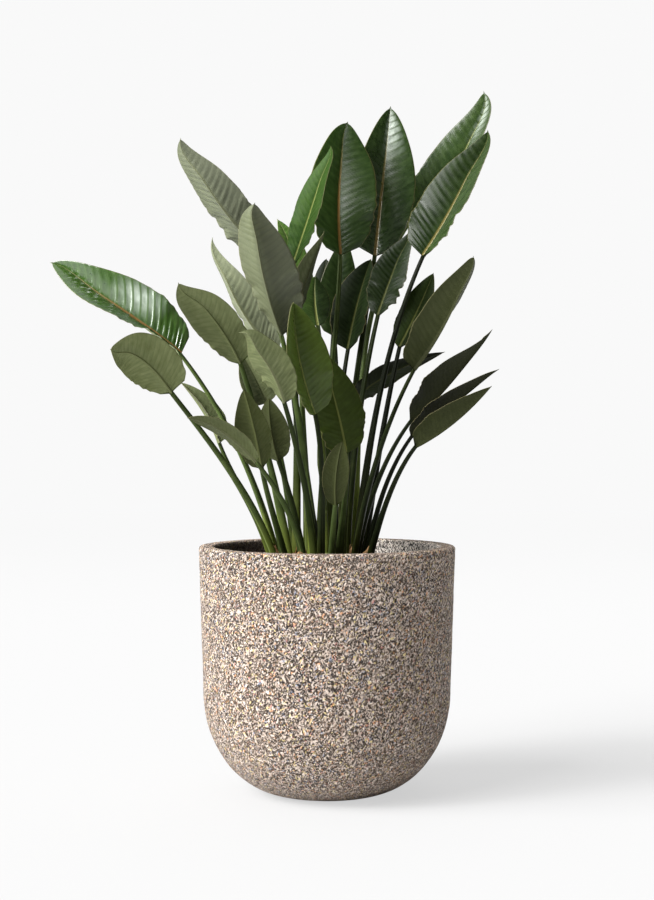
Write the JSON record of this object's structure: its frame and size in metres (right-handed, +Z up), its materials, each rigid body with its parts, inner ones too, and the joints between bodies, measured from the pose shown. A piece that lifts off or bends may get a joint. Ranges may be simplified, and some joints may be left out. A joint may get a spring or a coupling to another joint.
{
  "type": "potted bird of paradise plant",
  "caption": "House plant: a clump of stalked, glossy paddle leaves standing in soil in a deep round-bottomed pot of washed aggregate.",
  "frame": {"origin": "middle of the pot's flat foot, on the surface that it stands on", "axes": "+Z up through the plant, -Y towards the viewer of the picture, +X to that viewer's right"},
  "size_m": [0.6792, 0.4529, 1.104],
  "materials": {
    "washed_aggregate": "matte",
    "gravel": "matte",
    "potting_soil": "matte",
    "leaf": "satin",
    "rolled_leaf": "satin"
  },
  "bodies": {
    "root": {"pot": "washed_aggregate", "drainage_gravel": "gravel", "soil": "potting_soil", "leaf_far_left_glossy": "leaf", "leaf_left_round": "leaf", "leaf_high_left": "leaf", "leaf_tall_left_front": "leaf", "leaf_slim_left": "leaf", "leaf_mid_left": "leaf", "leaf_front_left_hook": "leaf", "leaf_behind_left": "leaf", "leaf_low_left": "leaf", "leaf_low_left_small": "leaf", "leaf_low_left_arched": "leaf", "leaf_left_folded": "leaf", "leaf_upper_left_green": "leaf", "leaf_top_broad": "leaf", "leaf_top_centre": "leaf", "leaf_top_right_back": "leaf", "leaf_top_right_front": "leaf", "leaf_centre_waved": "leaf", "leaf_centre_dark": "leaf", "leaf_back_upright": "leaf", "leaf_back_small": "leaf", "leaf_edge_dark": "leaf", "leaf_back_left": "leaf", "leaf_centre_short": "leaf", "leaf_front_centre": "leaf", "leaf_front_right_low": "leaf", "leaf_right_folded": "leaf", "leaf_right_behind": "leaf", "leaf_back_right_low": "leaf", "leaf_right_upper": "leaf", "leaf_right_lower": "leaf", "leaf_front_small": "leaf", "leaf_right_middle": "leaf", "young_leaf": "rolled_leaf"}
  },
  "joints": []
}
